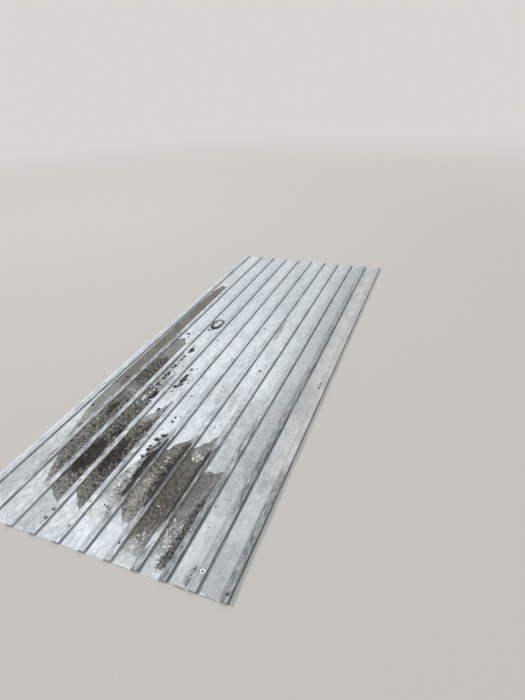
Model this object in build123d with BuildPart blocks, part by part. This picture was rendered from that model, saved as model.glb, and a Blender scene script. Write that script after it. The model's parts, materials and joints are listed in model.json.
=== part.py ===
from build123d import *
import math
import os

# Ribbed roofing sheet: one piece of thin galvanised steel, roll formed across its width.
# It lies on its flat pans with the ribs up. X runs across the ribs, Y along them, Z up.
# The origin is under the middle of the sheet, on the surface that it lies on.

# Driving dimensions, in millimetres
sheet_length = 3000.0
steel_thickness = 0.5
rib_pitch = 115.0
rib_count = 11
rib_height = 8.5          # from the underside of the pans to the top of a crest
crest_width = 25.0        # across the top of a rib, between its two upper bends
flank_run = 5.0           # how far a rib's side leans outward on its way down
inside_bend_radius = 2.0  # of every bend, on the hollow side of the metal
side_flange = 16.0        # flat strip left outside the first and the last rib
nail_hole_diameter = 5.0

# Nail holes through the crests, near one end only. Ribs are counted from 1 at the left.
nail_row_from_end = 76.0
nail_row_ribs = (4, 5, 7, 10)
second_nail_gap = 44.0       # along the crest of the row's first rib, further from the end
corner_nail_from_end = 30.0  # on the last rib of the sheet

# Worked out from the driving dimensions
rise = rib_height - steel_thickness
flank_angle = math.atan2(rise, flank_run)
# The upper surface of a flank stands this much further out than the lower one
outward_shift = steel_thickness * math.tan(flank_angle / 2)
crest_half = crest_width / 2 - outward_shift
foot_half = crest_half + flank_run
outside_bend_radius = inside_bend_radius + steel_thickness
first_rib = -rib_pitch * (rib_count - 1) / 2
half_width = -first_rib + foot_half + side_flange
near_end = -sheet_length / 2
tolerance = 0.001


def rib_centre(number):
    """Where a rib stands across the sheet. The first rib on the left is number 1."""
    return first_rib + (number - 1) * rib_pitch


def face_line(spread, level):
    """Corners of one face of the metal from left to right: pans at level, crests above."""
    corners = [(-half_width, level)]
    for number in range(1, rib_count + 1):
        middle = rib_centre(number)
        corners.append((middle - foot_half - spread, level))
        corners.append((middle - crest_half - spread, level + rise))
        corners.append((middle + crest_half + spread, level + rise))
        corners.append((middle + foot_half + spread, level))
    corners.append((half_width, level))
    return corners


def corners_at(sketch, level):
    """The bend corners of a section at one level, without the corners of its side edges."""
    return sketch.vertices().filter_by(
        lambda corner: abs(corner.Y - level) < tolerance and abs(corner.X) < half_width - tolerance
    )


lower_face = face_line(0, 0)
upper_face = face_line(outward_shift, steel_thickness)
nail_row = near_end + nail_row_from_end
nail_places = [(rib_centre(number), nail_row) for number in nail_row_ribs]
nail_places.append((rib_centre(nail_row_ribs[0]), nail_row + second_nail_gap))
nail_places.append((rib_centre(rib_count), near_end + corner_nail_from_end))

with BuildPart() as ribbed_sheet:
    # The section is drawn looking along the ribs, at the far end, and pulled to the near end
    with BuildSketch(Plane.XZ.offset(near_end)) as section:
        with BuildLine() as outline:
            Polyline(*lower_face, *reversed(upper_face), close=True)
        make_face()
        # Bends: a small radius on the hollow side of the metal, a larger one on its outer side
        for level in (0, rise + steel_thickness):
            fillet(corners_at(section, level), outside_bend_radius)
        for level in (steel_thickness, rise):
            fillet(corners_at(section, level), inside_bend_radius)
    extrude(amount=sheet_length)
    with BuildSketch(Plane.XY.offset(rise)) as nail_holes:
        with Locations(*nail_places):
            Circle(nail_hole_diameter / 2)
    extrude(amount=steel_thickness, mode=Mode.SUBTRACT)

ribbed_sheet.part.label = "ribbed_sheet"
os.makedirs("parts", exist_ok=True)
export_step(ribbed_sheet.part, "parts/ribbed_sheet.step")

box = ribbed_sheet.part.bounding_box()
print(f"sheet {box.size.X:.1f} x {box.size.Y:.1f} x {box.size.Z:.1f} mm")
print(f"steel {ribbed_sheet.part.volume / 1000:.0f} cm3, {len(ribbed_sheet.part.solids())} solid")
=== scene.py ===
# %% [markdown]
# An old ribbed roofing sheet
#
# The object is one long sheet of thin galvanised steel. Rollers have folded it into narrow
# raised ribs with wide flat pans between them. It has been on a roof: it has nail holes,
# dents, a curled edge, and dirt that dried in the pans. This lesson makes the steel first,
# then its finish, and last the light and the camera.

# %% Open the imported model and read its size
import json
import math

import bmesh
import bpy
import numpy as np
from mathutils import Matrix, Vector, noise


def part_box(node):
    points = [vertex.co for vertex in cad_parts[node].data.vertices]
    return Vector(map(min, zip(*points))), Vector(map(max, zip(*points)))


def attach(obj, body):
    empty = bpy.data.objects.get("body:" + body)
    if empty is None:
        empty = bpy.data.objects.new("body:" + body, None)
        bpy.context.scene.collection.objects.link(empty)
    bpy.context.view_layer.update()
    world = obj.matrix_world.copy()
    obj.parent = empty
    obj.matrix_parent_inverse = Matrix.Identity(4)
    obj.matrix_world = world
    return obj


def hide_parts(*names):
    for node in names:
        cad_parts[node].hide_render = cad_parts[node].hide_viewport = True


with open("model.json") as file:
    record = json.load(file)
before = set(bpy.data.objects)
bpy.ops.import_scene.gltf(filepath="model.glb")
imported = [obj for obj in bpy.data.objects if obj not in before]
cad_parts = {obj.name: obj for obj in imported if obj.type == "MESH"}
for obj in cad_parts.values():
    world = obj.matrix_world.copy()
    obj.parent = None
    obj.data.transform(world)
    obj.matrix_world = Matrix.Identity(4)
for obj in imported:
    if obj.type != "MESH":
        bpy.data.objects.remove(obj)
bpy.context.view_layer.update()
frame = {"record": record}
sheet_low, sheet_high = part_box("ribbed_sheet")
near_end = sheet_low.y
sheet_length = sheet_high.y - sheet_low.y
half_width = sheet_high.x
rib_height = sheet_high.z
print("sheet", [round(high - low, 4) for low, high in zip(sheet_low, sheet_high)], "m")

# %% [markdown]
# The camera
#
# The sheet's ribs are straight and evenly spaced, so they work as a ruler: the place from
# which they line up with a picture of the sheet can be worked out. The camera stands at head
# height beside the near end, looks down at about thirty degrees, and is held slightly tilted.
# It comes first, because every later choice is judged through it.


# %% Stand the camera at the near end
def add_to_scene(name, data):
    """A new object in the scene that shows this data."""
    made = bpy.data.objects.new(name, data)
    bpy.context.scene.collection.objects.link(made)
    return made


camera_place = Vector((1.071, -2.2665, 1.504))
turned_left = math.radians(22.46)
looking_down = math.radians(31.30)
tilted = math.radians(-2.76)
picture_height = 700
focal_pixels = 476.1
sensor = 36.0

camera_data = bpy.data.cameras.new("viewer")
camera_data.sensor_width = sensor
camera_data.lens = focal_pixels / picture_height * sensor
camera = add_to_scene("viewer", camera_data)
aim = (
    Matrix.Rotation(turned_left, 4, "Z")
    @ Matrix.Rotation(math.radians(90) - looking_down, 4, "X")
    @ Matrix.Rotation(tilted, 4, "Z")
)
camera.matrix_world = Matrix.Translation(camera_place) @ aim
bpy.context.scene.camera = camera
print("lens", round(camera_data.lens, 2), "mm")

# %% [markdown]
# The rolled section
#
# Thin sheet is best drawn as a line through the middle of the metal, which is then given
# half a thickness on each side. Each rib is a crest, two leaning flanks and four small bends.
# A bend made of a few short steps catches a thin line of light, and that line is what makes
# a fold in metal look like a fold. A flat pan needs steps as well, so that it can dip later.

# %% Name the sizes of the section
rib_pitch = 0.115
rib_count = 11
steel = 0.0005
crest_width = 0.025
flank_run = 0.005
bend_radius = 0.00225
bend_steps = 3
pan_steps = 7
crest_steps = 3

rise = rib_height - steel
flank_angle = math.atan2(rise, flank_run)
crest_half = crest_width / 2 - steel / 2 * math.tan(flank_angle / 2)
foot_half = crest_half + flank_run
bend_reach = bend_radius * math.tan(flank_angle / 2)
rib_places = [(number - (rib_count - 1) / 2) * rib_pitch for number in range(rib_count)]
print("ribs from", round(rib_places[0], 4), "to", round(rib_places[-1], 4), "m")


# %% Draw one bend and one rib
def bend(corner_x, corner_z, turn_from, turn_to):
    """Steps round one fold. Angles are the metal's slope before and after the fold."""
    side = 1 if turn_to > turn_from else -1
    start_x = corner_x - bend_reach * math.cos(turn_from)
    start_z = corner_z - bend_reach * math.sin(turn_from)
    centre_x = start_x - side * bend_radius * math.sin(turn_from)
    centre_z = start_z + side * bend_radius * math.cos(turn_from)
    steps = []
    for step in range(bend_steps + 1):
        slope = turn_from + (turn_to - turn_from) * step / bend_steps
        x = centre_x + side * bend_radius * math.sin(slope)
        z = centre_z - side * bend_radius * math.cos(slope)
        steps.append((x, z, slope))
    return steps


def rib(middle):
    """The line of one rib from its left foot to its right foot."""
    low, high = steel / 2, rib_height - steel / 2
    line = bend(middle - foot_half, low, 0, flank_angle)
    line += bend(middle - crest_half, high, flank_angle, 0)
    for step in range(1, crest_steps + 1):
        share = step / (crest_steps + 1)
        line.append((middle + crest_half * (2 * share - 1), high, 0.0))
    line += bend(middle + crest_half, high, 0, -flank_angle)
    line += bend(middle + foot_half, low, -flank_angle, 0)
    return line


def flat(left, right, steps):
    """Steps across a flat strip, without its two ends."""
    return [(left + (right - left) * s / steps, steel / 2, 0.0) for s in range(1, steps)]


print("one rib has", len(rib(0.0)), "points")

# %% Join the ribs and pans into the whole section
flange_steps = 3
foot_reach = foot_half + bend_reach
section = [(-half_width, steel / 2, 0.0)]
section += flat(-half_width, rib_places[0] - foot_reach, flange_steps)
for number, middle in enumerate(rib_places):
    section += rib(middle)
    if number < rib_count - 1:
        section += flat(middle + foot_reach, rib_places[number + 1] - foot_reach, pan_steps)
section += flat(rib_places[-1] + foot_reach, half_width, flange_steps)
section.append((half_width, steel / 2, 0.0))
print("section", len(section), "points")

# %% [markdown]
# The rows along the length
#
# The near part of the sheet has most of the dents and dirt, so its rows are close together.
# The far part is plain and gets fewer.

# %% Space the rows
close_rows = 118
wide_rows = 62
close_length = 1.35
rows = [near_end + close_length * step / close_rows for step in range(close_rows)]
far_length = sheet_length - close_length
rows += [near_end + close_length + far_length * step / wide_rows for step in range(wide_rows + 1)]
print(len(rows), "rows,", len(rows) * len(section) * 4, "triangles or so")

# %% [markdown]
# Dents, waves and a curled lip
#
# Thin steel is never flat for long. The pans bulge a little between the ribs, crests are
# dented where somebody knelt or a nail was pulled, and the cut end is bent up in places.
# Each of these is a small function of the place on the sheet, so that each can be changed
# by itself. The steel can only go where it really could: a crest sinks, a pan lifts.

# %% Describe the wear of the shape
pan_bulge = 0.0011
crest_dip = 0.0005
sideways_wander = 0.0012
edge_wander = 0.0016
cut_wander, cut_reach = 0.0012, 0.004
nail_dent_radius, nail_dent_depth = 0.008, 0.0011
# Dents sit a little left of the middle of their crest
dent_left = 0.003

# Waves in the steel: their length across the sheet, their length along it, their seed
long_bulges, short_bulges = (0.16, 0.34, 3.1), (0.06, 0.11, 8.7)
long_wander, short_wander = (1.0, 0.55, 12.4), (0.2, 0.12, 2.2)
crest_waves, edge_waves = (0.09, 0.23, 5.9), (1.0, 0.09, 7.7)

# Dents in crests: rib from 1 at the left, distance from the near end, length along, depth
crest_dents = [
    (4, 0.283, 0.007, 0.0030), (3, 0.215, 0.009, 0.0022), (5, 0.203, 0.010, 0.0024),
    (6, 0.245, 0.012, 0.0020), (7, 0.292, 0.010, 0.0022), (9, 0.205, 0.012, 0.0030),
    (9, 0.135, 0.010, 0.0018), (3, 0.452, 0.010, 0.0018), (4, 0.446, 0.009, 0.0022),
    (5, 0.440, 0.012, 0.0018), (6, 0.425, 0.010, 0.0016), (9, 0.600, 0.030, 0.0012),
    (10, 0.950, 0.020, 0.0014), (10, 0.960, 0.060, 0.0012), (6, 1.360, 0.020, 0.0014),
    (9, 0.930, 0.015, 0.0014),
]
# Lips curled up at the cut end: pan from 1, share across it, half width, how far in, height
curled_lips = [
    (9, 0.62, 0.026, 0.011, 0.0062), (10, 0.30, 0.022, 0.008, 0.0026),
    (10, 0.80, 0.016, 0.010, 0.0042), (7, 0.55, 0.024, 0.006, 0.0014),
    (3, 0.45, 0.030, 0.006, 0.0012),
]


def hill(distance, reach):
    """A smooth bump that is 1 in the middle and fades to nothing at a few reaches."""
    return math.exp(-((distance / reach) ** 2))


def wave(x, y, stretch_x, stretch_y, seed):
    """Smooth irregular waves from -1 to 1, with their own length each way."""
    return noise.noise(Vector((x / stretch_x, y / stretch_y, seed)))


def nearest_rib(x):
    """The rib beside this place, counted from 0, and how far the place is from its middle."""
    number = min(max(round(x / rib_pitch + (rib_count - 1) / 2), 0), rib_count - 1)
    return number, x - rib_places[number]


print(len(crest_dents), "dents and", len(curled_lips), "curled lips")


# %% Read the nail holes from the record
def holes_of(mount):
    """The two hole places of a pair of nail holes."""
    x, y = mount["pos_m"][:2]
    across = mount["dims"].get("spacing_x_mm", 0) / 2000
    along = mount["dims"].get("spacing_y_mm", 0) / 2000
    return [(x - across, y - along), (x + across, y + along)]


nail_pairs = [m for m in frame["record"]["mounts"] if m["kind"] == "bolt_pattern"]
nail_places = []
for pair in nail_pairs:
    for place in holes_of(pair):
        if all(math.dist(place, known) > steel for known in nail_places):
            nail_places.append(place)
corner_nail_from_end = 0.030
nail_places.append((rib_places[-1], near_end + corner_nail_from_end))
nail_radius = nail_pairs[0]["dims"]["hole_r_mm"] / 1000
print(len(nail_places), "nail holes of", nail_radius * 2000, "mm")


# %% Move each point of the section by the wear
def lifted(x, y, height):
    """How far the wear raises the steel at a place. Height is 0 in a pan and 1 on a crest."""
    number, off = nearest_rib(x)
    from_end = y - near_end
    # A pan bulges most half way between its ribs, and is held down at their feet
    foot_gap = max(abs(off) - foot_half, 0.0)
    pan_half = rib_pitch / 2 - foot_half
    slack = math.sin(min(foot_gap / pan_half, 1.0) * math.pi / 2) ** 2
    bulge = 0.5 + 0.9 * wave(x, y, *long_bulges) + 0.35 * wave(x, y, *short_bulges)
    up = pan_bulge * slack * max(bulge, 0.0)
    for pan, share, half_span, reach, lip in curled_lips:
        lip_x = rib_places[pan - 1] + share * rib_pitch
        up += lip * hill(x - lip_x, half_span) * hill(from_end, reach) * min(slack * 4, 1)
    # A crest only sinks
    down = crest_dip * (0.5 + 0.5 * wave(x, y, *crest_waves))
    for dented, place, reach, depth in crest_dents:
        if dented - 1 == number:
            down += depth * hill(from_end - place, reach) * hill(off + dent_left, crest_width / 2)
    for nail_x, nail_y in nail_places:
        gap = math.hypot(x - nail_x, y - nail_y)
        down += nail_dent_depth * hill(gap, nail_dent_radius)
    return up * (1 - height) - down * height


def shifted(x, y):
    """How far the wear pushes the steel sideways, and along at the cut ends."""
    inside = 1 - (x / half_width) ** 8
    aside = sideways_wander * wave(0.0, y, *long_wander) * inside
    aside += sideways_wander * 0.5 * wave(x, y, *short_wander) * inside
    # The side edges of the sheet only wander inward
    edge = (abs(x) / half_width) ** 40
    aside -= math.copysign(edge_wander, x) * edge * (0.5 + 0.5 * wave(x, y, *edge_waves))
    to_end = sheet_length / 2 - abs(y)
    cut = cut_wander * hill(to_end, cut_reach) * (0.5 + 0.5 * wave(x, 0.0, 0.03, 1.0, y))
    return aside, -math.copysign(cut, y)


print("a corner moves by", [round(step * 1000, 2) for step in shifted(half_width, near_end)], "mm")


# %% Build the sheet as one closed skin
def worn_point(x, z, slope, y, face):
    """A point on the upper (1) or lower (-1) face of the worn steel."""
    height = min(max((z - steel / 2) / rise, 0.0), 1.0)
    aside, along = shifted(x, y)
    across = x - math.sin(slope) * steel / 2 * face
    level = z + math.cos(slope) * steel / 2 * face + lifted(x, y, height)
    lowest = 0 if face < 0 else steel * 0.5
    level = min(max(level, lowest), rib_height)
    return (min(max(across + aside, -half_width), half_width), y + along, level)


columns = len(section)
points = []
for face in (1, -1):
    for y in rows:
        points += [worn_point(x, z, slope, y, face) for x, z, slope in section]


def index(face_number, row, column):
    """The number of a point. Face 0 is the upper one."""
    return (face_number * len(rows) + row) * columns + column


faces = []
for row in range(len(rows) - 1):
    for here in range(columns - 1):
        right = here + 1
        faces.append([index(0, row, here), index(0, row, right),
                      index(0, row + 1, right), index(0, row + 1, here)])
        faces.append([index(1, row, here), index(1, row + 1, here),
                      index(1, row + 1, right), index(1, row, right)])
for row, order in ((0, 1), (len(rows) - 1, -1)):
    for here in range(columns - 1):
        rim = [index(0, row, here + 1), index(0, row, here),
               index(1, row, here), index(1, row, here + 1)]
        faces.append(rim[::order])
for column, order in ((0, -1), (columns - 1, 1)):
    for row in range(len(rows) - 1):
        rim = [index(0, row + 1, column), index(0, row, column),
               index(1, row, column), index(1, row + 1, column)]
        faces.append(rim[::order])
skin = bpy.data.meshes.new("ribbed_sheet_worn")
skin.from_pydata(points, [], faces)
skin.validate()
sheet = add_to_scene("ribbed_sheet_worn", skin)
print("skin", len(skin.vertices), "points", len(skin.polygons), "faces")

# %% [markdown]
# Punch the nail holes
#
# A nail leaves a round hole in the crest. The holes are cut with a boolean: one mesh of short
# round punches is taken out of the sheet, and the punches are then thrown away.


# %% Cut with round punches
def mesh_from(tool, name):
    """A mesh with the shape that was made with a tool."""
    mesh = bpy.data.meshes.new(name)
    tool.to_mesh(mesh)
    tool.free()
    return mesh


bars = bmesh.new()
for x, y in nail_places:
    bmesh.ops.create_cone(
        bars, cap_ends=True, segments=20, radius1=nail_radius, radius2=nail_radius,
        depth=rib_height, matrix=Matrix.Translation((x, y, rib_height)),
    )
punches = add_to_scene("punches", mesh_from(bars, "punches"))
cut = sheet.modifiers.new("nail_holes", "BOOLEAN")
cut.object = punches
cut.operation = "DIFFERENCE"
cut.solver = "EXACT"
graph = bpy.context.evaluated_depsgraph_get()
punched = bpy.data.meshes.new_from_object(sheet.evaluated_get(graph))
sheet.modifiers.clear()
sheet.data = punched
punched.name = "ribbed_sheet_punched"
bpy.data.objects.remove(punches)
punched.shade_smooth()
punched.set_sharp_from_angle(angle=math.radians(50))
print("after punching", len(punched.vertices), "points")

# %% [markdown]
# Where the dirt lies
#
# Rain water stood in the low pans and dried. It left a thin brown film with a crisp tide line
# at its top, dark soil where leaves rotted, a white crust where the zinc itself has corroded,
# and specks of rust. A shader can make the grain of each, but it has to be told where each one
# lies. So every patch is drawn once as a closed outline on its pan, as somebody would chalk it
# on the steel: each corner is a share across the pan in hundredths, and a distance from the
# near end in millimetres. A film keeps its distance to that outline, which makes a crisp edge.
# The others keep an amount that fades over a few centimetres, which noise later breaks into
# clumps.

# %% Name the colours of the film
# Red, green, blue, and how grainy the film is from 0 to 1
brown_film = (0.140, 0.125, 0.092, 0.50)
olive_film = (0.078, 0.074, 0.042, 0.45)
green_film = (0.235, 0.262, 0.205, 0.22)
slate_film = (0.112, 0.113, 0.111, 0.40)
grey_film = (0.122, 0.119, 0.108, 1.00)
lichen_film = (0.150, 0.145, 0.118, 1.00)
tan_film = (0.150, 0.133, 0.100, 0.90)
pale_film = (0.225, 0.235, 0.232, 0.55)
print("brown film is", brown_film[:3])


# %% Draw the outlines
def oval(share, distance, half_share, half_length, corners=10):
    """An outline for a round patch."""
    turns = [2 * math.pi * corner / corners for corner in range(corners)]
    return [(share + half_share * math.cos(turn), distance + half_length * math.sin(turn))
            for turn in turns]


def band(far_left, far_right, near_right, near_left):
    """An outline across a whole pan, from the distances of its four corners."""
    return [(-5, far_left), (105, far_right), (105, near_right), (-5, near_left)]


# Each film: pan from 1, colour, strength in hundredths, the distances where it starts to thin
# and where it is gone, which are 0 where it stays whole, outline
films = [
    (1, brown_film, 93, 0, 0,
     [(10, 930), (12, 1300), (6, 1800), (12, 2220), (45, 2340), (80, 2310), (107, 2360),
      (107, 930)]),
    (1, green_film, 80, 580, 320,
     [(107, 980), (12, 980), (17, 780), (36, 690), (66, 585), (90, 480), (107, 380)]),
    (2, pale_film, 85, 0, 0,
     [(-7, 1180), (-7, 1475), (12, 1495), (30, 1490), (42, 1520), (66, 1500), (82, 1462),
      (107, 1445), (107, 1180)]),
    (2, grey_film, 95, 350, 130,
     [(-7, 1220), (107, 1240), (107, 180), (85, 205), (55, 275), (22, 345), (-7, 395)]),
    (3, grey_film, 96, 200, 100,
     [(-7, 800), (22, 790), (45, 800), (75, 830), (107, 900), (107, 150), (75, 168), (40, 186),
      (15, 205), (-7, 215)]),
    (3, pale_film, 72, 0, 0, [(-7, 840), (-7, 1360), (14, 1340), (20, 1100), (22, 840)]),
    (3, pale_film, 66, 0, 0,
     [(50, 885), (55, 1000), (72, 1090), (90, 1130), (107, 1140), (107, 900)]),
    (4, pale_film, 62, 0, 0,
     [(-7, 735), (25, 765), (48, 800), (70, 850), (92, 895), (107, 905), (107, 740), (70, 720),
      (25, 690), (-7, 670)]),
    (4, lichen_film, 94, 210, 100,
     [(-7, 700), (25, 722), (48, 742), (70, 760), (92, 775), (107, 780), (107, 145), (80, 165),
      (45, 190), (18, 218), (-7, 235)]),
    (5, pale_film, 46, 0, 0, [(107, 705), (86, 683), (70, 655), (60, 630), (74, 560), (107, 540)]),
    (5, tan_film, 56, 330, 100,
     [(107, 640), (80, 630), (56, 580), (60, 530), (42, 470), (24, 420), (10, 370), (2, 300),
      (-2, 230), (10, 185), (55, 160), (107, 165)]),
    (6, tan_film, 96, 240, 80,
     [(-7, 558), (13, 573), (34, 612), (64, 640), (84, 652), (98, 668), (107, 674), (107, 90),
      (92, 112), (55, 165), (20, 205), (-7, 225)]),
    (7, slate_film, 78, 0, 0,
     [(-7, 612), (18, 628), (32, 645), (46, 670), (54, 673), (61, 664), (68, 680), (78, 705),
      (92, 724), (107, 730), (107, 560), (-7, 540)]),
    (7, olive_film, 96, 200, -60,
     [(-7, 585), (20, 600), (45, 580), (70, 610), (107, 630), (107, -20), (-7, -20)]),
    (8, slate_film, 97, 300, -100,
     [(-7, 482), (6, 499), (20, 512), (40, 513), (58, 507), (78, 517), (95, 529), (107, 533),
      (107, -20), (-7, -20)]),
    (9, slate_film, 50, 0, 0,
     [(42, -10), (50, 45), (66, 80), (80, 100), (96, 90), (94, 40), (88, -10)]),
    (9, pale_film, 38, 0, 0,
     [(-2, 670), (24, 690), (50, 675), (78, 700), (105, 720), (105, 500), (60, 540), (20, 600)]),
    (10, pale_film, 32, 0, 0,
     [(2, 600), (30, 630), (62, 570), (86, 600), (92, 500), (40, 460), (5, 500)]),
    (7, pale_film, 50, 0, 0,
     [(10, 1660), (4, 1780), (10, 1930), (26, 1950), (32, 1800), (46, 1700), (40, 1645),
      (22, 1640)]),
    (5, pale_film, 45, 0, 0, oval(30, 1680, 13, 24)),
]

# Deposits by kind: pan from 1, how softly it fades in millimetres, amount in hundredths, outline
deposits = {
    "soil": [
        (2, 30, 100, [(5, 1220), (50, 1270), (98, 1250), (102, 990), (50, 980), (10, 990)]),
        (2, 35, 62, [(5, 800), (55, 850), (102, 860), (102, 240), (75, 300), (30, 400), (10, 600)]),
        (3, 35, 95, [(0, 800), (60, 840), (102, 860), (102, 240), (60, 270), (10, 310)]),
        (4, 35, 95, [(5, 660), (60, 730), (102, 840), (102, 250), (60, 280), (5, 320)]),
        (5, 12, 100, [(105, 550), (84, 520), (76, 460), (80, 410), (88, 360), (105, 330)]),
        (5, 40, 50, [(105, 600), (70, 570), (55, 400), (50, 250), (80, 200), (105, 190)]),
        (5, 24, 48, [(105, 720), (82, 690), (56, 630), (50, 530), (78, 500), (105, 500)]),
        (9, 10, 62, oval(82, 88, 13, 16)),
        (9, 20, 40, [(50, -10), (62, 50), (86, 70), (88, -10)]),
        (6, 26, 100, [(105, 620), (84, 560), (64, 460), (66, 380), (84, 300), (105, 260)]),
        (6, 40, 50, [(5, 540), (60, 560), (66, 400), (30, 360), (5, 400)]),
        (7, 60, 42, [(5, 420), (98, 460), (98, 180), (5, 180)]),
        (7, 10, 80, [(94, 620), (106, 640), (106, 300), (96, 320)]),
        (8, 10, 72,
         [(105, 470), (93, 430), (78, 350), (66, 260), (58, 140), (50, 30), (86, 20), (105, 100)]),
        (1, 12, 80, [(92, 620), (105, 630), (105, 560), (90, 580)]),
        (3, 12, 75, oval(86, 930, 10, 32)),
        (3, 30, 62, [(5, 940), (60, 970), (102, 940), (102, 800), (0, 760)]),
        (3, 20, 44, [(15, 1280), (55, 1280), (62, 1020), (60, 920), (10, 940)]),
        (4, 20, 42, [(15, 1160), (60, 1160), (62, 1020), (20, 1000)]),
    ],
    "core": [
        (5, 6, 100,
         [(106, 640), (95, 580), (84, 530), (70, 470), (74, 410), (88, 350), (106, 220)]),
        (2, 30, 75, oval(40, 750, 26, 70)),
        (2, 30, 55, oval(60, 1120, 35, 90)),
        (3, 40, 100, oval(38, 430, 62, 110)),
        (3, 30, 60, oval(70, 620, 35, 80)),
        (4, 40, 100, oval(28, 460, 50, 100)),
        (4, 30, 60, oval(95, 680, 20, 50)),
        (6, 20, 85, oval(92, 420, 18, 130)),
    ],
    "crust": [
        (5, 30, 62, [(5, 420), (45, 480), (70, 450), (78, 300), (85, 140), (10, 150), (2, 300)]),
        (5, 16, 95, oval(42, 175, 40, 28)),
        (5, 16, 55, oval(45, 600, 22, 50)),
        (6, 30, 42, [(8, 540), (55, 570), (70, 440), (60, 280), (15, 300), (5, 400)]),
        (7, 14, 78, [(15, 600), (38, 630), (62, 585), (85, 600), (98, 560), (62, 530), (30, 550)]),
        (7, 10, 90, oval(92, 645, 6, 35)),
        (7, 10, 85, oval(32, 278, 16, 8)),
        (7, 20, 50, [(5, 140), (50, 160), (95, 100), (98, -10), (5, -10)]),
        (8, 25, 56, [(8, 240), (50, 280), (72, 220), (66, 80), (75, -10), (5, -10)]),
        (9, 14, 80, oval(46, 8, 34, 12)),
        (9, 10, 70, oval(70, 92, 14, 22)),
        (10, 14, 60, oval(70, 20, 30, 22)),
        (4, 20, 50, oval(42, 1120, 40, 100)),
        (3, 20, 44, oval(35, 1060, 36, 160)),
        (3, 10, 62, oval(50, 1745, 20, 35)),
    ],
    "bloom": [
        (6, 40, 70, [(5, 400), (60, 420), (90, 260), (95, 140), (40, 180), (2, 240)]),
        (2, 30, 50, oval(62, 330, 40, 60)),
        (3, 50, 36, band(1420, 1220, 950, 950)),
        (4, 40, 62, [(-5, 1100), (62, 1120), (58, 900), (-5, 880)]),
        (8, 8, 85,
         [(102, 475), (86, 455), (62, 385), (46, 300), (40, 220), (50, 220), (60, 310), (76, 385)]),
        (8, 30, 30, [(-5, 320), (38, 300), (46, 160), (36, 20), (-5, 20)]),
        (2, 30, 55, [(2, 950), (102, 950), (102, 890), (2, 900)]),
        (2, 30, 45, oval(15, 580, 20, 100)),
        (7, 30, 40, oval(80, 100, 20, 90)),
        (7, 80, 30, band(1020, 1050, 660, 660)),
        (8, 80, 100, band(1020, 1050, 520, 500)),
        (9, 80, 85, band(1200, 1200, 340, 360)),
        (10, 80, 100, band(1300, 1200, 950, 1000)),
        (10, 50, 60, band(220, 220, -80, -80)),
        (1, 50, 92, [(-5, 340), (26, 400), (42, 700), (105, 680), (105, -80), (-5, -80)]),
        (2, 50, 52, band(360, 220, -80, -80)),
        (3, 50, 85, band(220, 170, -80, -80)),
        (4, 60, 45, band(240, 160, -80, -80)),
    ],
    "cream": [
        (10, 60, 80, [(70, 580), (64, 1100), (46, 1600), (32, 3100), (120, 3100), (120, 580)]),
    ],
    "tan": [
        (9, 30, 80, [(62, 1060), (92, 1050), (90, 780), (70, 740), (60, 860)]),
        (6, 40, 78, oval(85, 1050, 30, 110)),
        (7, 30, 85, oval(42, 1000, 26, 50)),
        (10, 25, 60, oval(45, 840, 22, 30)),
        (10, 20, 80, [(94, 90), (104, 90), (104, 0), (90, 0)]),
        (3, 15, 70, oval(42, 1710, 34, 70)),
    ],
    "umber": [
        (7, 60, 95, band(420, 460, 190, 170)),
        (4, 50, 75, band(460, 480, 200, 260)),
        (2, 40, 70, band(1260, 1240, 990, 990)),
        (5, 20, 60, [(72, 360), (105, 340), (105, 150), (74, 180)]),
    ],
    "rust": [
        (7, 30, 80, oval(20, 410, 20, 50)),
        (7, 30, 60, oval(45, 310, 30, 60)),
        (3, 30, 70, oval(62, 470, 26, 60)),
        (4, 40, 60, oval(35, 450, 40, 80)),
        (6, 30, 60, oval(70, 320, 30, 100)),
        (2, 30, 60, oval(55, 1120, 35, 90)),
    ],
}
# A ring of moss has stains under it: pan, share across, distance, half width, half length
moss_ring = (3, 56, 1740, 32, 58)
ring_pan, ring_share, ring_distance, ring_half_width, ring_half_length = moss_ring
for share, distance in oval(ring_share, ring_distance, 36, ring_half_length, 12):
    nearness = (ring_distance - distance) / ring_half_length
    deposits["soil"].append((ring_pan, 8, 75 + 30 * nearness, oval(share, distance, 13, 16)))
print(len(films), "films and", sum(len(each) for each in deposits.values()), "deposits")

# %% Measure how far inside an outline a place is
pan_flat = rib_pitch - 2 * foot_half


def on_sheet(pan, share, distance):
    """X and the distance from the near end, in metres, of a place that an outline names."""
    return rib_places[pan - 1] + foot_half + share / 100 * pan_flat, distance / 1000


def inside_outline(outline, pan, x, from_end):
    """Metres inside a closed outline on a pan, below zero outside it, for arrays of places."""
    corners = [on_sheet(pan, *corner) for corner in outline]
    nearest = np.full(len(x), np.inf)
    inside = np.zeros(len(x), bool)
    for (start_x, start_y), (stop_x, stop_y) in zip(corners, corners[1:] + corners[:1]):
        run_x, run_y = stop_x - start_x, stop_y - start_y
        along = (x - start_x) * run_x + (from_end - start_y) * run_y
        along = np.clip(along / (run_x ** 2 + run_y ** 2), 0, 1)
        gap = np.hypot(x - start_x - along * run_x, from_end - start_y - along * run_y)
        nearest = np.minimum(nearest, gap)
        if run_y:
            crossed = (start_y > from_end) != (stop_y > from_end)
            inside ^= crossed & (x < start_x + (from_end - start_y) * run_x / run_y)
    return np.where(inside, nearest, -nearest)


def on_pan(pan, x):
    """1 on a pan, falling to 0 up the sides of its two ribs."""
    middle = rib_places[pan - 1] + rib_pitch / 2
    past_foot = np.abs(x - middle) - pan_flat / 2
    return np.clip(1 - past_foot / flank_run, 0, 1)


def ease(value):
    """A smooth step for arrays, from 0 to 1."""
    value = np.clip(value, 0, 1)
    return value * value * (3 - 2 * value)


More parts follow.
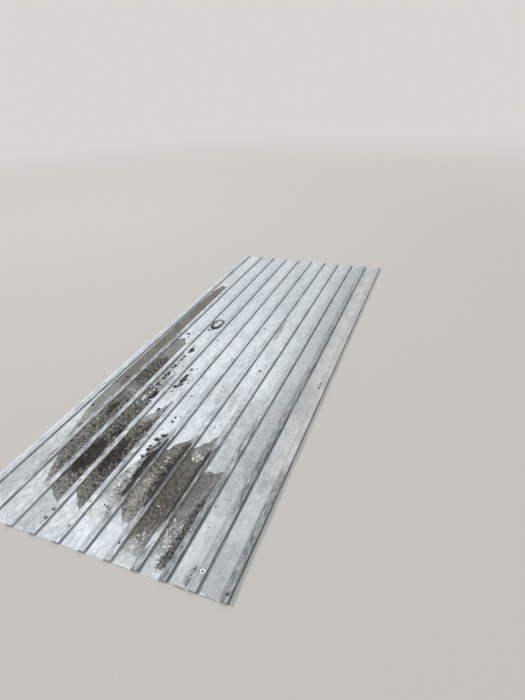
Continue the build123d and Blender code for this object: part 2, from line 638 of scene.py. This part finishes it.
def amount_of(kind, x, from_end):
    """How much of one kind of deposit lies at each place, from 0 to 1."""
    bare = np.ones(len(x))
    for pan, fade, amount, outline in deposits[kind]:
        share = ease(inside_outline(outline, pan, x, from_end) / (2 * fade / 1000) + 0.5)
        bare *= 1 - amount / 100 * share * on_pan(pan, x)
    return 1 - bare


print("a pan is", round(pan_flat * 1000, 1), "mm wide")


# %% Store the film and the deposits on the steel
def store(mesh, name, values, kind="FLOAT"):
    """Keeps one number, or one colour, for each point of a mesh."""
    layer = mesh.attributes.new(name, kind, "POINT")
    layer.data.foreach_set("value" if kind == "FLOAT" else "color", np.ravel(values))


spots = np.empty(len(punched.vertices) * 3)
punched.vertices.foreach_get("co", spots)
spots = spots.reshape(-1, 3)
shifts = np.array([shifted(x, y)[0] for x, y in spots[:, :2]])
spot_x = spots[:, 0] - shifts
from_ends = spots[:, 1] - near_end
far_outside = -0.08

film_depth = np.full(len(spots), far_outside)
film_amount = np.zeros(len(spots))
film_colour = np.tile(np.array(grey_film), (len(spots), 1))
for pan, colour, strength, thin_from, thin_to, outline in films:
    depth = inside_outline(outline, pan, spot_x, from_ends)
    depth = np.where(on_pan(pan, spot_x) > 0, depth, far_outside)
    left = np.ones(len(spots))
    if thin_from > thin_to:
        whole, gone = thin_from / 1000, thin_to / 1000
        left = ease((from_ends - gone) / (whole - gone))
    better = depth > film_depth
    film_depth = np.where(better, depth, film_depth)
    film_amount = np.where(better, strength / 100 * left, film_amount)
    film_colour[better] = colour
store(punched, "film_depth", film_depth)
store(punched, "film_amount", film_amount)
store(punched, "film_colour", film_colour, "FLOAT_COLOR")
for kind in sorted(deposits):
    amount = amount_of(kind, spot_x, from_ends)
    store(punched, kind + "_amount", amount)
    print(kind, "lies on", round(float((amount > 0.3).mean()) * 100, 1), "% of the points")
store(punched, "shift", shifts)
store(punched, "upper_face", [float(vertex.normal.z > 0) for vertex in punched.vertices])

# %% Store the grime on the crests
# Each run: rib from 1, the distances where it starts and stops, amount in hundredths
crest_grime = [
    (2, 200, 950, 34), (2, 950, 1580, 47), (3, 300, 750, 38), (4, 320, 620, 34), (5, 360, 660, 34),
    (6, 100, 240, 25), (6, 240, 660, 80), (7, 50, 230, 24), (7, 230, 660, 88), (8, 180, 660, 74),
    (8, 660, 920, 24), (8, -50, 80, 34), (9, -50, 300, 47), (9, 280, 560, 57), (9, 560, 880, 40),
    (10, 360, 1020, 47), (10, 1020, 2600, 30), (11, -50, 600, 40),
]
grime_fade = 0.06
rib_of_spot = np.array([nearest_rib(x)[0] + 1 for x in spot_x])
grime = np.zeros(len(spots))
for rib_number, start, stop, amount in crest_grime:
    reach = np.minimum(from_ends - start / 1000, stop / 1000 - from_ends)
    run = amount / 100 * ease(reach / (2 * grime_fade) + 0.5)
    grime = np.where(rib_of_spot == rib_number, np.maximum(grime, run), grime)
store(punched, "grime_amount", grime)
print(len(crest_grime), "grimy runs of crest")

# %% [markdown]
# Lumps that stand up
#
# Rotted leaves and earth don't only colour the steel, they lie on it as small black clods, and
# the corroded zinc lifts in white flakes. Each is a small closed lump with its own knobbly
# outline. They are scattered by the same amounts that colour the steel, and a few clusters
# that stand alone on clean steel are placed one by one. All of them are one joined mesh.

# %% Name the clusters that stand alone
# Each cluster: pan, share across, distance, half width and half length in millimetres, lumps
clusters = [
    (3, 40, 1430, 6, 6, 10), (3, 48, 1384, 16, 28, 120), (3, 40, 1312, 10, 12, 26),
    (3, 38, 1278, 10, 16, 26), (3, 36, 1195, 9, 22, 50), (3, 38, 1120, 11, 26, 70),
    (3, 40, 1070, 12, 24, 70), (3, 38, 1015, 13, 26, 80), (3, 30, 970, 10, 12, 26),
    (3, 62, 965, 7, 8, 12), (3, 84, 918, 13, 28, 80), (3, 72, 888, 10, 14, 26),
    (3, 95, 1212, 5, 6, 7), (3, 75, 1140, 5, 6, 6), (3, 30, 915, 6, 8, 10),
    (4, 29, 1192, 10, 14, 30), (4, 39, 1133, 11, 14, 34), (4, 42, 1085, 15, 24, 90),
    (4, 46, 1045, 14, 20, 60), (4, 30, 1018, 16, 10, 44), (4, 33, 969, 8, 5, 10),
    (4, 45, 812, 7, 20, 34), (4, 62, 1210, 4, 4, 4), (4, 82, 1125, 4, 4, 4), (4, 86, 1092, 4, 4, 4),
    (4, 90, 1070, 4, 4, 4), (4, 83, 895, 3, 4, 4), (4, 52, 900, 3, 4, 4), (4, 104, 1260, 3, 24, 22),
    (4, 28, 1544, 5, 7, 9), (5, 46, 970, 9, 6, 10), (5, 53, 786, 6, 6, 9), (5, 77, 796, 3, 3, 4),
    (5, 53, 752, 6, 7, 14), (5, 28, 690, 4, 4, 4), (5, 66, 648, 10, 10, 30),
    (5, 52, 617, 13, 13, 44), (5, 44, 568, 10, 8, 26), (5, 47, 545, 10, 10, 30),
    (5, 62, 520, 10, 10, 26), (5, 46, 498, 8, 9, 24), (5, 80, 655, 6, 12, 14),
    (5, 26, 1070, 3, 3, 3), (5, 100, 175, 6, 8, 12), (2, 38, 1565, 11, 11, 24),
    (2, 62, 1530, 4, 5, 5), (3, 26, 1656, 8, 10, 12), (3, 42, 1640, 5, 5, 6),
    (6, 32, 1773, 8, 6, 14), (6, 43, 1665, 4, 5, 5), (6, 54, 1097, 4, 4, 4), (6, -5, 1357, 6, 7, 9),
    (7, 80, 1302, 8, 8, 14), (7, 40, 776, 3, 4, 4), (9, 20, 350, 4, 5, 6), (9, 40, 250, 4, 4, 4),
    (10, 94, 1283, 6, 6, 9), (10, 95, 1246, 6, 6, 10), (1, 66, 1020, 6, 10, 12),
    (1, 36, 742, 8, 7, 14), (1, 96, 595, 7, 28, 50), (2, -3, 895, 3, 3, 3),
]
print(sum(cluster[-1] for cluster in clusters), "lumps in", len(clusters), "clusters")

# %% Scatter the places of the lumps
dice = np.random.default_rng(11)


def scatter(tries, kinds_wanted, farthest):
    """Random places in the pans, kept by the amount of the kinds of dirt that lie there."""
    x = dice.uniform(-half_width, half_width, tries)
    from_end = dice.uniform(0.0, farthest, tries)
    keep = np.zeros(tries)
    for kind, weight in kinds_wanted:
        keep = np.maximum(keep, weight * amount_of(kind, x, from_end) ** 1.5)
    off = np.array([abs(nearest_rib(place)[1]) for place in x])
    kept = (dice.random(tries) < keep) & (off > foot_half)
    return np.column_stack([x[kept], from_end[kept]])


def gather(cluster, part):
    """Random places for a part of one cluster's lumps, closer together towards its middle."""
    pan, share, distance, half_across, half_along, number = cluster
    number = math.ceil(number * part)
    x, from_end = on_sheet(pan, share, distance)
    turn = dice.uniform(0, 2 * math.pi, number)
    reach = 1.15 * dice.random(number) ** 0.85
    return np.column_stack([x + np.cos(turn) * reach * (half_across / 1000),
                            from_end + np.sin(turn) * reach * (half_along / 1000)])


def round_the_ring(width, number):
    """Random places along the ring of moss, more of them at its near side."""
    x, from_end = on_sheet(*moss_ring[:3])
    turn = dice.normal(-0.9, 1.5, number)
    wobble = dice.normal(0, width / 2, number)
    return np.column_stack([x + np.cos(turn) * (ring_half_width / 1000 + wobble),
                            from_end + np.sin(turn) * (ring_half_length / 1000 + wobble)])


end_of_soil, end_of_flakes = 1.32, 1.80
spread_soil = scatter(52000, (("soil", 0.15), ("core", 0.36)), end_of_soil)
spread_grit = scatter(30000, (("soil", 0.20), ("core", 0.10)), end_of_soil)
spread_flakes = scatter(60000, (("crust", 0.60),), end_of_flakes)
gathered = np.vstack([gather(cluster, part=1.4) for cluster in clusters])
# Only a cluster that is more than this many millimetres wide to a side has flat plates
wide_cluster = 7
plates = [gather(cluster, part=0.10) for cluster in clusters if cluster[3] > wide_cluster]
plates = np.vstack(plates)
moss = round_the_ring(width=0.013, number=620)
print(len(spread_soil), "clods,", len(spread_grit), "grains of grit,", len(spread_flakes), "flakes")


# %% Build the lumps as one mesh
def round_lump(rings):
    """A round lump of radius 1 to copy: its points and its faces."""
    tool = bmesh.new()
    bmesh.ops.create_icosphere(tool, subdivisions=rings, radius=1.0)
    tool.verts.ensure_lookup_table()
    corners = np.array([vertex.co[:] for vertex in tool.verts])
    sides = np.array([[vertex.index for vertex in face.verts] for face in tool.faces])
    tool.free()
    return corners, sides


def top_of_steel(x, y):
    """The height of the worn steel's upper face in a pan, on a flank or on a crest."""
    off = nearest_rib(x)[1]
    height = min(max((foot_half - abs(off)) / flank_run, 0.0), 1.0)
    return steel + rise * height + lifted(x, y, height)


coarse, finer = round_lump(1), round_lump(2)
large_lump = 0.0030
lumps = []


def lay_lumps(places, smallest, largest, flatness, tone_low, tone_high):
    """Lays a lump on the steel at each place, with its own size, turn, outline and tone."""
    for x, from_end in places:
        size = smallest + (largest - smallest) * dice.random() ** 2.2
        corners, sides = finer if size > large_lump else coarse
        knobbly = corners * dice.uniform(0.68, 1.15, (len(corners), 1))
        turn = dice.uniform(0, 2 * math.pi)
        longer = dice.uniform(0.7, 1.35)
        c, s = math.cos(turn), math.sin(turn)
        local_x, local_y = knobbly[:, 0] * size * longer, knobbly[:, 1] * size / longer
        lump = np.column_stack([c * local_x - s * local_y, s * local_x + c * local_y,
                                knobbly[:, 2] * size * flatness])
        y = near_end + from_end
        aside, along = shifted(x, y)
        ground = top_of_steel(x, y)
        lump += (x + aside, y + along, ground)
        # The underside is flat and is sunk into the steel by less than its thickness
        lump[:, 2] = np.clip(lump[:, 2], ground - steel * 0.5, rib_height)
        lump[:, 1] = np.maximum(lump[:, 1], near_end + steel)
        lumps.append((lump, sides, np.full(len(corners), dice.uniform(tone_low, tone_high))))


lay_lumps(spread_soil, 0.0012, 0.0052, 0.42, 0.0, 0.30)
lay_lumps(spread_grit, 0.0008, 0.0028, 0.45, 0.42, 0.66)
lay_lumps(gathered, 0.0010, 0.0042, 0.55, 0.0, 0.14)
lay_lumps(plates, 0.0038, 0.0062, 0.16, 0.0, 0.10)
lay_lumps(moss, 0.0010, 0.0036, 0.50, 0.0, 0.22)
lay_lumps(spread_flakes, 0.0007, 0.0030, 0.28, 0.62, 1.0)
lump_points, lump_sides, lump_tones = zip(*lumps)
first_points = np.cumsum([0] + [len(lump) for lump in lump_points])
lump_faces = np.vstack([sides + first for sides, first in zip(lump_sides, first_points)])
lump_mesh = bpy.data.meshes.new("dried_dirt")
lump_mesh.from_pydata(np.vstack(lump_points), [], lump_faces.tolist())
store(lump_mesh, "tone", np.concatenate(lump_tones))
lumps_object = add_to_scene("dried_dirt", lump_mesh)
lump_mesh.shade_smooth()
print("lumps have", len(lump_mesh.polygons), "triangles")

# %% [markdown]
# The finish of old zinc
#
# New galvanised steel is bright and shows large crystals. Old zinc is dull and pale, with a
# bluish white skin, and is brighter where water never stood. The material starts with that
# dull metal and covers it with each kind of dirt in the order in which it arrived: grime on the
# ribs, the film, the soil, specks of rust, the crust. It also paints shade on the rib flanks and
# in the corners beside them, shade round the nail holes and highlights on the curled lips. A few
# small helpers keep it short.


# %% Make helpers for the nodes
class Nodes:
    """The nodes of a material or of the sky, added one after another."""

    def __init__(self, owner):
        owner.use_nodes = True
        self.owner = owner
        self.nodes = owner.node_tree.nodes
        self.links = owner.node_tree.links

    def put(self, socket, value):
        """Links an output, or sets a plain value."""
        if isinstance(value, bpy.types.NodeSocket):
            self.links.new(value, socket)
        elif socket.type == "RGBA":
            socket.default_value = (*value, 1.0)
        else:
            socket.default_value = value

    def node(self, kind, inputs, output=0, **settings):
        """Adds a node, fills its inputs by name or number, and gives one of its outputs."""
        made = self.nodes.new("ShaderNode" + kind)
        for setting, value in settings.items():
            setattr(made, setting, value)
        for name, value in inputs.items():
            self.put(made.inputs[name], value)
        return made.outputs[output]

    def maths(self, operation, first, second=0.0):
        """One sum of two numbers."""
        return self.node("Math", {0: first, 1: second}, operation=operation)

    def show(self, share, near, far, output):
        """Shows one shader, with another over it by a share, at the output node."""
        mixed = self.node("MixShader", {0: share, 1: near, 2: far})
        self.put(self.nodes[output].inputs["Surface"], mixed)


class Recipe(Nodes):
    """A material that starts with a bare surface and covers it step by step."""

    def __init__(self, name):
        super().__init__(bpy.data.materials.new(name))
        self.shader = self.nodes["Principled BSDF"]
        self.place = self.node("TexCoord", {}, "Object")

    def times(self, *values):
        """Several numbers multiplied together."""
        result = values[0]
        for value in values[1:]:
            result = self.maths("MULTIPLY", result, value)
        return result

    def stretched(self, stretch, turn=0.0):
        """The place on the sheet, turned about Z and then stretched by factors in X and Y."""
        inputs = {"Vector": self.place, "Rotation": (0, 0, turn), "Scale": (*stretch, 1)}
        return self.node("Mapping", inputs)

    def grain(self, size, detail=2.0, rough=0.5, stretch=(1, 1), seed=0.0, turn=0.0):
        """Noise from 0 to 1 whose lumps are about this size in metres."""
        inputs = {"Vector": self.stretched(stretch, turn), "W": seed, "Scale": 1 / size,
                  "Detail": detail, "Roughness": rough}
        return self.node("TexNoise", inputs, "Fac", noise_dimensions="4D")

    def cells(self, size, stretch=(1, 1)):
        """Irregular cells of about this size: a number for each, and the way to its middle."""
        gap = self.node("TexVoronoi", {"Vector": self.stretched(stretch), "Scale": 1 / size},
                        "Distance")
        return self.node("SeparateColor", {0: gap.node.outputs["Color"]}), gap

    def between(self, value, low, high, out_low=0.0, out_high=1.0):
        """A smooth step from out_low to out_high as the value goes from low to high."""
        inputs = {"Value": value, "From Min": low, "From Max": high, "To Min": out_low,
                  "To Max": out_high}
        return self.node("MapRange", inputs, interpolation_type="SMOOTHSTEP")

    def clumped(self, amount, noise, softness):
        """Breaks a smooth amount into clumps: it shows where the amount beats the noise."""
        spread_noise = self.between(noise, 0.27, 0.73)
        return self.between(self.maths("SUBTRACT", amount, spread_noise), -softness, softness)

    def blend(self, share, under, over, kind="MIX"):
        """One colour laid over another by a share from 0 to 1."""
        return self.node("Mix", {0: share, 6: under, 7: over}, 2, data_type="RGBA",
                         blend_type=kind)

    def level(self, share, under, over):
        """One number laid over another by a share from 0 to 1."""
        return self.node("Mix", {0: share, 2: under, 3: over}, data_type="FLOAT")

    def stored(self, name, output="Fac"):
        """A number, or a colour, that was stored on the mesh."""
        return self.node("Attribute", {}, output, attribute_name=name)

    def start(self, colour, roughness, metal):
        """The bare surface, before anything covers it."""
        self.colour, self.roughness, self.metal = colour, roughness, metal

    def tint(self, share, colour, kind="MIX"):
        """Changes the colour alone."""
        self.colour = self.blend(share, self.colour, colour, kind)

    def cover(self, share, strength, colour, rough, dulled):
        """Lays something over the surface: its colour, its roughness, and less metal shine."""
        self.tint(self.times(share, strength), colour)
        self.roughness = self.level(share, self.roughness, rough)
        self.metal = self.level(self.times(share, dulled), self.metal, 0.0)

    def bumpy(self, height, strength, distance):
        """Relief that is too fine to model."""
        inputs = {"Strength": strength, "Distance": distance, "Height": height}
        self.put(self.shader.inputs["Normal"], self.node("Bump", inputs, "Normal"))

    def finish(self):
        """Gives the collected values to the shader."""
        self.put(self.shader.inputs["Base Color"], self.colour)
        self.put(self.shader.inputs["Roughness"], self.roughness)
        self.put(self.shader.inputs["Metallic"], self.metal)


print("helpers ready")

# %% Find the place across a rib
zinc = Recipe("old_zinc")
# Short names for the steps that the zinc takes most
maths, times, between, level = zinc.maths, zinc.times, zinc.between, zinc.level
grain, stored, clumped = zinc.grain, zinc.stored, zinc.clumped
blend, tint, cover = zinc.blend, zinc.tint, zinc.cover
place_parts = zinc.node("SeparateXYZ", {0: zinc.place}).node.outputs
along = place_parts["Y"]
# The sheet has wandered sideways a little, so that is taken off before the ribs are found
across = maths("SUBTRACT", place_parts["X"], stored("shift"))
top_only = stored("upper_face")
turns = maths("ADD", maths("MULTIPLY", across, 1 / rib_pitch), 0.5)
off_rib = maths("SUBTRACT", maths("FRACT", turns), 0.5)
off_rib = maths("MULTIPLY", off_rib, rib_pitch)
off_size = maths("ABSOLUTE", off_rib)
# Each part of a rib starts and stops softly beside its bend
on_crest = times(between(off_size, crest_half + 0.0010, crest_half - 0.0004), top_only)
right_side = maths("GREATER_THAN", off_rib, 0.0)
on_flank = times(between(off_size, crest_half - 0.0002, crest_half + 0.0012),
                 between(off_size, foot_half + 0.0006, foot_half - 0.0006))
in_corner = times(between(off_size, foot_half - 0.0004, foot_half + 0.0014),
                  between(off_size, foot_half + 0.0070, foot_half + 0.0022))
near_part = between(along, near_end + 1.60, near_end + 0.80)
print("a crest is", round(crest_half * 2000, 1), "mm wide between its bends")

# %% Start the metal
cool_zinc = (0.695, 0.765, 0.820)
white_zinc = (0.810, 0.875, 0.930)
grey_zinc = (0.505, 0.535, 0.540)
dull_zinc = (0.370, 0.405, 0.430)

cloud = grain(0.30, 3.0, 0.55, (1.6, 0.45), 1.0)
patchy = grain(0.055, 4.0, 0.62, (1.0, 0.5), 2.0)
streak = grain(0.010, 2.0, 0.5, (1.0, 0.045), 3.0)
mottle = grain(0.017, 3.0, 0.70, (1, 0.55), 4.0)
wiped = grain(0.009, 2.0, 0.5, (1.0, 0.10), 8.0, math.radians(34))
crystal = zinc.cells(0.009, (1, 0.8))[0]
roughness = level(crystal, 0.38, 0.50)
roughness = maths("ADD", roughness, between(patchy, 0.35, 0.75, 0.0, 0.10))
zinc.start(blend(between(cloud, 0.35, 0.65), cool_zinc, white_zinc), roughness, 0.60)
tint(between(across, 0.20, 0.52, 0, 0.80), grey_zinc)
for pattern, low, high, most in (
    (patchy, 0.46, 0.70, 0.30), (streak, 0.55, 0.80, 0.26), (mottle, 0.44, 0.66, 0.36),
):
    tint(between(pattern, low, high, 0, most), dull_zinc)
tint(times(between(wiped, 0.54, 0.70, 0, 0.24), between(off_size, crest_half, foot_half)),
     dull_zinc)
tint(times(crystal, 0.12), grey_zinc)
# The underside never saw rain and has gone evenly dull
tint(level(top_only, 0.60, 0.0), dull_zinc)
print("metal started")


# %% Dot it with small dark specks
def dots(size, stretch, low, largest, edge):
    """Round dots in the cells whose number is high, with a soft edge."""
    number, gap = zinc.cells(size, stretch)
    return between(maths("SUBTRACT", between(number, low, 1.0, 0.0, largest), gap), 0.0, edge)


speck = dots(0.030, (1, 0.8), 0.45, 0.080, 0.02)
tiny = dots(0.011, (1, 1), 0.62, 0.17, 0.05)
specks = times(maths("MAXIMUM", speck, times(tiny, 0.6)), top_only)
cover(specks, 0.70, (0.10, 0.11, 0.11), 0.7, 1.0)
print("specks dotted")

# %% Dirty the crests
# A crest is rubbed grey in streaks, and is black where water ran over it
crest_wear = grain(0.011, 3.0, 0.68, (1.0, 0.28), 5.0)
crest_tone = blend(between(crest_wear, 0.34, 0.60), (1.0, 1.0, 1.0), (0.62, 0.63, 0.64))
tint(times(on_crest, level(near_part, 0.50, 0.92)), crest_tone, "MULTIPLY")
# The last crest has a skin of pale dust, as the flange beside it has
last_crest = times(on_crest, between(across, 0.52, 0.54),
                   between(along, near_end + 0.45, near_end + 0.80))
tint(times(last_crest, between(patchy, 0.35, 0.60, 0.64, 0.34)), (0.73, 0.72, 0.69))
grime_here = stored("grime_amount")
run_down = grain(0.009, 3.0, 0.65, (1.0, 0.18), 7.0)
grimy = times(clumped(grime_here, run_down, 0.60), between(grime_here, 0.0, 0.15))
near_crest = maths("MAXIMUM", on_crest, times(on_flank, top_only, 0.9))
cover(times(grimy, near_crest), 0.88, (0.090, 0.090, 0.087), 0.75, 0.8)
scratch = between(grain(0.004, 2.0, 0.6, (1.0, 0.12), 6.0), 0.60, 0.68)
tint(times(scratch, on_crest, 0.36), (0.72, 0.76, 0.78))
left_half = times(on_crest, between(off_rib, 0.0015, -0.0020), between(grime_here, 0.58, 0.74))
cover(left_half, 0.93, (0.022, 0.021, 0.019), 0.85, 0.95)
print("crests dirtied")

# %% Paint shade on the flanks and their corners, and dust the flange
# Painted shade with some dirt: the right flanks and the strip of pan beside their feet are painted
# near black, the left ones only grey
smear = grain(0.05, 4.0, 0.65, (1, 0.30), 31.0)
flank_shade_and_dirt = times(on_flank, level(right_side, 0.42, 1.0), 0.92)
right_corner = between(across, 0.0, 0.30, 0.56, 1.0)
corner_shadow_and_dirt = times(level(right_side, level(near_part, 0.03, 0.20), right_corner), in_corner)
past_ribs = rib_places[-1] + foot_half
on_flange = between(maths("ABSOLUTE", across), past_ribs, past_ribs + 0.002)
corner_shadow_and_dirt = times(corner_shadow_and_dirt, level(on_flange, 1.0, 0.3))
side = times(maths("MAXIMUM", flank_shade_and_dirt, corner_shadow_and_dirt), between(smear, 0.20, 0.62, 0.62, 1.0),
             top_only)
# This near-black is painted shade on the flanks and in the corners beside them, with some dirt in
# it
cover(side, 0.96, (0.045, 0.052, 0.055), 0.72, 0.85)
dusty = times(on_flange, top_only, maths("GREATER_THAN", across, 0.0))
dust = blend(between(streak, 0.35, 0.65), (0.46, 0.46, 0.44), (0.35, 0.35, 0.34))
cover(dusty, 0.80, dust, 0.6, 0.7)
print("ribs dirtied")

# %% [markdown]
# Laying the dirt
#
# The film's stored distance is disturbed by noise, and a very short smooth step turns the
# result into a share from 0 to 1, which keeps the tide line of dried water crisp. The other
# deposits are stored as amounts. Each shows where its amount is larger than a noise, so a
# middling amount becomes scattered clumps, as it does on the real steel. A share mixes in the
# deposit's colour, takes away the metal's shine, and makes the surface rougher. Last come
# single pale and dark grains, each from a noise of its own, so that they don't form rings.

# %% Lay the film
pale_grain = grain(0.0085, 1.5, 0.70, (1, 0.62), 11.0)
dark_grain = grain(0.0100, 1.5, 0.70, (1, 0.62), 17.0)
lumpy = grain(0.042, 4.0, 0.75, (1, 0.8), 12.0)
blotch = grain(0.060, 3.0, 0.60, (1, 0.5), 13.0)
ragged = grain(0.030, 4.0, 0.62, (1, 1), 21.0)
film_wander = 0.009
tide_softness = 0.0022
push = maths("MULTIPLY", maths("SUBTRACT", ragged, 0.5), film_wander * 2)
film_reach = maths("ADD", stored("film_depth"), push)
amount = stored("film_amount")
film_edge = times(between(film_reach, 0.0, tide_softness), top_only)
mottled = clumped(maths("MULTIPLY", amount, 1.35), lumpy, 0.22)
film = times(film_edge, mottled, between(amount, 0.0, 0.9))
film_tone = stored("film_colour", "Color")
grainy = stored("film_colour", "Alpha")
for share, tone in (
    (between(blotch, 0.42, 0.62, 0, 0.40), (0.215, 0.205, 0.180)),
    (between(blotch, 0.50, 0.36, 0, 0.40), (0.060, 0.055, 0.047)),
    (between(streak, 0.50, 0.75, 0, 0.22), (0.240, 0.235, 0.220)),
    (times(between(lumpy, 0.48, 0.58), grainy, 0.70), (0.044, 0.039, 0.032)),
):
    film_tone = blend(share, film_tone, tone)
cover(film, 0.95, film_tone, 0.74, 0.95)
tide = times(between(film_reach, 0.010, 0.001), film)
tint(times(tide, 0.40), (0.085, 0.085, 0.088))
print("film laid")


# %% Lay the other deposits in turn
def lay(kind, clump_size, softness, strength, tones, seed, rough=0.90, most=1.0):
    """Lays one deposit in clumps, mottled between two tones, and gives its share."""
    here = stored(kind + "_amount")
    clumps = grain(clump_size, 4.0, 0.72, (1, 0.7), seed)
    share = clumped(times(here, most), clumps, softness)
    share = times(share, between(here, 0.0, 0.15), top_only)
    cover(share, strength, blend(between(dark_grain, 0.44, 0.58), *tones), rough, strength)
    return share


lay("tan", 0.020, 0.35, 0.44, ((0.50, 0.43, 0.33), (0.36, 0.30, 0.23)), 29.0, 0.6)
lay("cream", 0.060, 0.60, 0.60, ((0.82, 0.79, 0.73), (0.71, 0.68, 0.62)), 33.0, 0.6)
lay("bloom", 0.030, 0.60, 0.63, ((0.46, 0.47, 0.46), (0.32, 0.33, 0.33)), 30.0, 0.6)
lay("umber", 0.060, 0.70, 0.60, ((0.052, 0.047, 0.036), (0.040, 0.037, 0.029)), 35.0, 0.8)
soil = lay("soil", 0.022, 0.10, 0.92, ((0.105, 0.097, 0.082), (0.022, 0.020, 0.018)), 24.0)
core = lay("core", 0.024, 0.16, 0.92, ((0.020, 0.018, 0.016), (0.006, 0.006, 0.006)), 26.0)
lay("rust", 0.014, 0.10, 0.26, ((0.150, 0.070, 0.042), (0.080, 0.040, 0.028)), 27.0)

# Single grains lie on the film and the soil, fewer where the soil is wet and black
dirty = times(maths("MAXIMUM", film, maths("MAXIMUM", soil, core)), grainy)
pale_grains = times(between(pale_grain, 0.51, 0.62), dirty, level(core, 1.0, 0.12))
tint(times(pale_grains, 0.72), (0.450, 0.428, 0.378))
dark_grains = times(between(dark_grain, 0.53, 0.62), dirty)
tint(times(dark_grains, 0.75), (0.020, 0.018, 0.016))
crust = lay("crust", 0.0120, 0.07, 0.92, ((0.66, 0.66, 0.62), (0.86, 0.87, 0.85)), 23.0,
            most=0.72)
print("deposits laid")

# %% Mark the nail holes and the dents, with painted shade round the holes and painted highlights on the bent lips
washer_grey, bare_zinc_and_lip_highlight, hole_shade_dark = (0.17, 0.18, 0.19), (0.88, 0.90, 0.92), (0.02, 0.02, 0.02)
dent_grey = (0.15, 0.16, 0.17)
dent_mark, washer_mark, corner_mark, bare_mark = 0.0075, 0.0105, 0.0120, 0.0098
hole_shade_mark = nail_radius + 0.0024
by_rib = sorted(nail_places)
left_rib_nails, bare_nail, corner_nail = by_rib[:2], by_rib[-2], by_rib[-1]
# Each mark: its place, its radius, its colour, its strength
marks = [((rib_places[rib - 1] - dent_left, near_end + place), dent_mark, dent_grey, 0.62)
         for rib, place, reach, depth in crest_dents]
# Painted highlight: a bright crescent on the cut end of each curled lip, where the bent edge
# catches the light
marks += [((rib_places[pan - 1] + share * rib_pitch, near_end), half_span * 0.6, bare_zinc_and_lip_highlight, 0.6)
          for pan, share, half_span, reach, lip in curled_lips]
marks += [(place, washer_mark, washer_grey, 0.70) for place in left_rib_nails]
marks.append((corner_nail, corner_mark, washer_grey, 0.45))
marks.append((bare_nail, bare_mark, bare_zinc_and_lip_highlight, 0.95))
# Painted shade: a near-black disc a little wider than each nail hole stands for the dark gap under
# the crest
marks += [(place, hole_shade_mark, hole_shade_dark, 0.98) for place in nail_places]
for place, radius, colour, strength in marks:
    gap = zinc.node("VectorMath", {0: zinc.place, 1: (*place, rib_height)}, "Value",
                    operation="DISTANCE")
    tint(times(between(gap, radius, radius * 0.85), strength, top_only), colour)
print(len(marks), "marks,", len(nail_places), "of them round nail holes")

# %% Finish the metal with relief
relief = times(dirty, maths("ADD", pale_grain, lumpy))
relief = maths("ADD", relief, times(crust, 0.7))
relief = maths("ADD", relief, times(grain(0.10, 2.0, 0.5, (1, 0.5), 41.0), 0.9))
zinc.bumpy(relief, 0.8, 0.0012)
zinc.finish()
sheet.data.materials.clear()
sheet.data.materials.append(zinc.owner)
for face in sheet.data.polygons:
    face.material_index = 0
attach(sheet, "root")
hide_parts("ribbed_sheet")
print("zinc has", len(zinc.nodes), "nodes")

# %% Finish the lumps
black_earth, brown_earth = (0.008, 0.009, 0.011), (0.085, 0.072, 0.054)
white_flake, pale_dust = (0.76, 0.75, 0.69), (0.075, 0.080, 0.084)
dirt = Recipe("dried_earth_and_flakes")
tone = dirt.stored("tone")
grit = dirt.grain(0.0016, 3.0, 0.7, (1, 1), 61.0)
dirt.start(dirt.blend(dirt.between(tone, 0.0, 0.42), black_earth, brown_earth),
           dirt.between(grit, 0.3, 0.7, 0.82, 0.97), 0.0)
dirt.tint(dirt.between(tone, 0.50, 0.85), white_flake)
dirt.tint(dirt.between(grit, 0.45, 0.70, 0, 0.30), pale_dust)
dirt.bumpy(grit, 0.6, 0.0006)
dirt.finish()
lump_mesh.materials.append(dirt.owner)
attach(lumps_object, "root")
print("lumps finished")

# %% [markdown]
# Floor and light
#
# The sheet lies on a plain pale floor, warmer than the steel, so that the cool metal stands out
# from it. The sky gives nearly all the light, evenly, and one large soft lamp above and behind
# gives the long gradients that metal needs. Far from the sheet the floor fades into a backdrop
# of its own colour. Together they are kept at a level at which a colour comes out about as it
# was written.

# %% Lay the floor
floor_radius = 40.0
fade_start, fade_end = 1.8, 11.0
floor_pale, backdrop_pale = (0.600, 0.570, 0.530), (0.690, 0.674, 0.648)
disc = bmesh.new()
bmesh.ops.create_circle(disc, cap_ends=True, segments=96, radius=floor_radius)
floor = add_to_scene("floor", mesh_from(disc, "floor"))
ground = Recipe("pale_floor")
ground.start(floor_pale, 0.9, 0.0)
ground.finish()
distance = ground.node("VectorMath", {0: ground.place}, "Value", operation="LENGTH")
far_light = ground.node("Emission", {"Color": backdrop_pale})
paleness = ground.between(distance, fade_start, fade_end)
ground.show(paleness, ground.shader.outputs[0], far_light, "Material Output")
floor.data.materials.append(ground.owner)
print("floor laid")

# %% Light it softly
sky = Nodes(bpy.data.worlds.new("soft_sky"))
fill = sky.nodes["Background"]
sky.put(fill.inputs["Color"], (0.97, 0.985, 1.0))
sky.put(fill.inputs["Strength"], 0.88)
seen = sky.node("Background", {"Color": backdrop_pale, "Strength": 1.0})
# The camera and mirror-like reflections see the backdrop, everything else only gets its light
ray = sky.node("LightPath", {}).node.outputs
straight = sky.maths("MAXIMUM", ray["Is Camera Ray"], ray["Is Glossy Ray"])
through = sky.maths("MAXIMUM", straight, ray["Is Transmission Ray"])
sky.show(through, fill.outputs[0], seen, "World Output")
bpy.context.scene.world = sky.owner

lamp_data = bpy.data.lights.new("overhead_softbox", "AREA")
lamp_data.shape = "RECTANGLE"
lamp_data.size = 6.0
lamp_data.size_y = 5.0
lamp_data.energy = 75.0
lamp = add_to_scene("overhead_softbox", lamp_data)
lamp.location = (-3.0, 2.2, 5.0)
lamp.rotation_euler = (-lamp.location).to_track_quat("-Z", "Y").to_euler()
bpy.context.scene.view_settings.view_transform = "Standard"
print("lights on")
